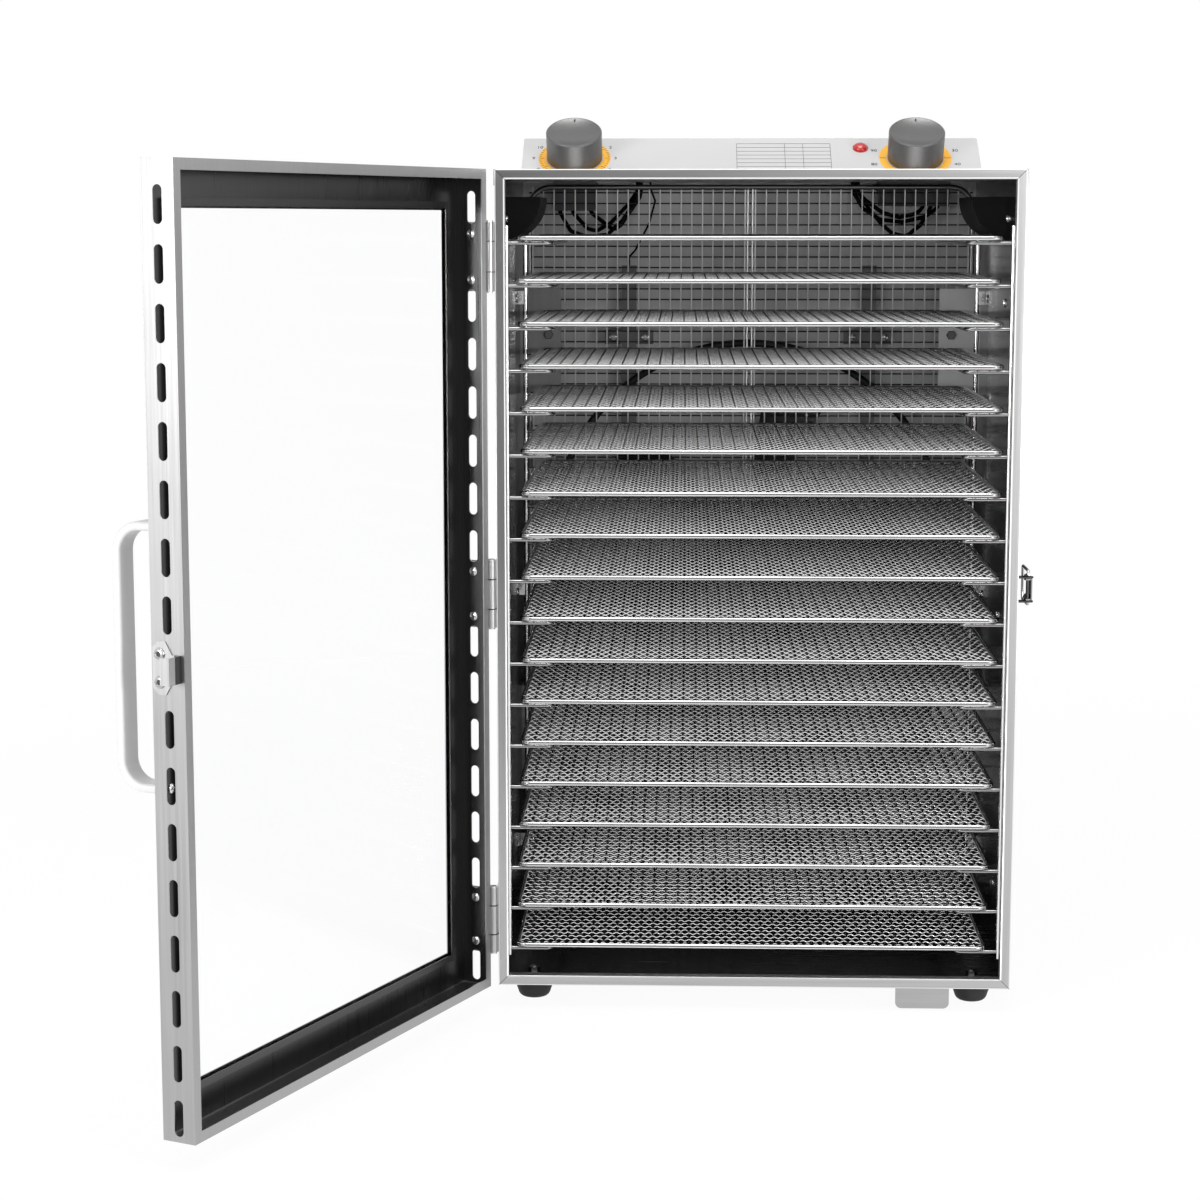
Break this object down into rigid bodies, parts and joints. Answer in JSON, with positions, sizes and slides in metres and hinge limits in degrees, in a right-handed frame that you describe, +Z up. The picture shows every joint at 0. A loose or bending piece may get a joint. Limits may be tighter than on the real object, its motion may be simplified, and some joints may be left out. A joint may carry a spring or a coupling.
{
  "type": "cabinet food dehydrator",
  "caption": "Upright steel food dryer with a glazed side-hinged door, sliding wire trays on racks, a rear fan and a knob console on top.",
  "frame": {"origin": "on the floor, below the centre of the cabinet's footprint", "axes": "+Z up, -Y out of the open front, +X to the right seen from the front"},
  "size_m": [0.6863, 0.8125, 0.7547],
  "materials": {
    "cabinet_steel": "brushed",
    "wire_steel": "bright drawn wire",
    "bracket_steel": "satin",
    "bright_hardware": "polished",
    "black_plastic": "satin",
    "panel_face": "fine brushed",
    "turned_knob": "turned",
    "switch_body": "matte",
    "lamp_red": "clear gloss",
    "lead_black": "matte",
    "fan_metal": "satin",
    "motor_paint": "satin",
    "heater_tube": "dull",
    "foot_rubber": "matte",
    "pane": "clear",
    "white_plastic": "satin gloss"
  },
  "bodies": {
    "cabinet": {"front_frame": "cabinet_steel", "side_panel_left": "cabinet_steel", "side_panel_right": "cabinet_steel", "floor_panel": "cabinet_steel", "back_panel": "cabinet_steel", "top_cover": "cabinet_steel", "side_handle_left": "black_plastic", "side_handle_right": "black_plastic", "dome_nuts": "bright_hardware", "console_shell": "cabinet_steel", "control_panel": "panel_face", "timer_body": "switch_body", "thermostat_body": "switch_body", "power_lamp": "lamp_red", "wiring": "lead_black", "rack_left": "wire_steel", "rack_right": "wire_steel", "rear_guard": "wire_steel", "guard_brackets": "bracket_steel", "motor_frame": "bracket_steel", "fan_motor": "motor_paint", "heating_element": "heater_tube", "rear_cover": "cabinet_steel", "cord_inlet": "black_plastic", "feet": "foot_rubber", "foot_bolts": "bright_hardware", "pan_screws": "bright_hardware", "cabinet_hinge_leaves": "bright_hardware", "hinge_pins": "bright_hardware", "latch_base": "bright_hardware"},
    "door": {"door_frame": "cabinet_steel", "door_glass": "pane", "glass_retainer": "cabinet_steel", "door_handle": "white_plastic", "door_screws": "bright_hardware", "keeper": "bright_hardware", "door_hinge_leaves": "bright_hardware"},
    "timer_knob": {"timer_knob": "turned_knob"},
    "thermostat_knob": {"thermostat_knob": "turned_knob"},
    "fan": {"fan": "fan_metal"},
    "latch_lever": {"latch_lever": "bright_hardware"},
    "latch_bail": {"latch_bail": "bright_hardware"},
    "tray_01": {"tray_01": "wire_steel"},
    "tray_02": {"tray_02": "wire_steel"},
    "tray_03": {"tray_03": "wire_steel"},
    "tray_04": {"tray_04": "wire_steel"},
    "tray_05": {"tray_05": "wire_steel"},
    "tray_06": {"tray_06": "wire_steel"},
    "tray_07": {"tray_07": "wire_steel"},
    "tray_08": {"tray_08": "wire_steel"},
    "tray_09": {"tray_09": "wire_steel"},
    "tray_10": {"tray_10": "wire_steel"},
    "tray_11": {"tray_11": "wire_steel"},
    "tray_12": {"tray_12": "wire_steel"},
    "tray_13": {"tray_13": "wire_steel"},
    "tray_14": {"tray_14": "wire_steel"},
    "tray_15": {"tray_15": "wire_steel"},
    "tray_16": {"tray_16": "wire_steel"},
    "tray_17": {"tray_17": "wire_steel"},
    "tray_18": {"tray_18": "wire_steel"}
  },
  "joints": [
    {"name": "door_hinge", "type": "hinge", "parent": "cabinet", "child": "door", "pos_m": [-0.219, -0.187, 0.3605], "axis": [0, 0, -1], "range_deg": [-114.4, 65.6]},
    {"name": "timer_turn", "type": "hinge", "parent": "cabinet", "child": "timer_knob", "pos_m": [-0.1634, 0.13965, 0.71734], "axis": [0, 0.5446, -0.8387], "range_deg": [0, 330]},
    {"name": "thermostat_turn", "type": "hinge", "parent": "cabinet", "child": "thermostat_knob", "pos_m": [0.1524, 0.13965, 0.71734], "axis": [0, 0.5446, -0.8387], "range_deg": [0, 270]},
    {"name": "fan_spin", "type": "hinge", "parent": "cabinet", "child": "fan", "pos_m": [0, 0.151, 0.3605], "axis": [0, 1, 0], "continuous": true},
    {"name": "latch_lever_swing", "type": "hinge", "parent": "cabinet", "child": "latch_lever", "pos_m": [0.225, -0.166, 0.357], "axis": [0, 0, -1], "range_deg": [0, 120]},
    {"name": "latch_bail_swing", "type": "hinge", "parent": "latch_lever", "child": "latch_bail", "pos_m": [0.2265, -0.157, 0.357], "axis": [0, 0, 1], "range_deg": [-180, 0]},
    {"name": "tray_01_slide", "type": "slide", "parent": "cabinet", "child": "tray_01", "axis": [0, -1, 0], "range_m": [0, 0.28]},
    {"name": "tray_02_slide", "type": "slide", "parent": "cabinet", "child": "tray_02", "axis": [0, -1, 0], "range_m": [0, 0.28]},
    {"name": "tray_03_slide", "type": "slide", "parent": "cabinet", "child": "tray_03", "axis": [0, -1, 0], "range_m": [0, 0.28]},
    {"name": "tray_04_slide", "type": "slide", "parent": "cabinet", "child": "tray_04", "axis": [0, -1, 0], "range_m": [0, 0.28]},
    {"name": "tray_05_slide", "type": "slide", "parent": "cabinet", "child": "tray_05", "axis": [0, -1, 0], "range_m": [0, 0.28]},
    {"name": "tray_06_slide", "type": "slide", "parent": "cabinet", "child": "tray_06", "axis": [0, -1, 0], "range_m": [0, 0.28]},
    {"name": "tray_07_slide", "type": "slide", "parent": "cabinet", "child": "tray_07", "axis": [0, -1, 0], "range_m": [0, 0.28]},
    {"name": "tray_08_slide", "type": "slide", "parent": "cabinet", "child": "tray_08", "axis": [0, -1, 0], "range_m": [0, 0.28]},
    {"name": "tray_09_slide", "type": "slide", "parent": "cabinet", "child": "tray_09", "axis": [0, -1, 0], "range_m": [0, 0.28]},
    {"name": "tray_10_slide", "type": "slide", "parent": "cabinet", "child": "tray_10", "axis": [0, -1, 0], "range_m": [0, 0.28]},
    {"name": "tray_11_slide", "type": "slide", "parent": "cabinet", "child": "tray_11", "axis": [0, -1, 0], "range_m": [0, 0.28]},
    {"name": "tray_12_slide", "type": "slide", "parent": "cabinet", "child": "tray_12", "axis": [0, -1, 0], "range_m": [0, 0.28]},
    {"name": "tray_13_slide", "type": "slide", "parent": "cabinet", "child": "tray_13", "axis": [0, -1, 0], "range_m": [0, 0.28]},
    {"name": "tray_14_slide", "type": "slide", "parent": "cabinet", "child": "tray_14", "axis": [0, -1, 0], "range_m": [0, 0.28]},
    {"name": "tray_15_slide", "type": "slide", "parent": "cabinet", "child": "tray_15", "axis": [0, -1, 0], "range_m": [0, 0.28]},
    {"name": "tray_16_slide", "type": "slide", "parent": "cabinet", "child": "tray_16", "axis": [0, -1, 0], "range_m": [0, 0.28]},
    {"name": "tray_17_slide", "type": "slide", "parent": "cabinet", "child": "tray_17", "axis": [0, -1, 0], "range_m": [0, 0.28]},
    {"name": "tray_18_slide", "type": "slide", "parent": "cabinet", "child": "tray_18", "axis": [0, -1, 0], "range_m": [0, 0.28]}
  ]
}
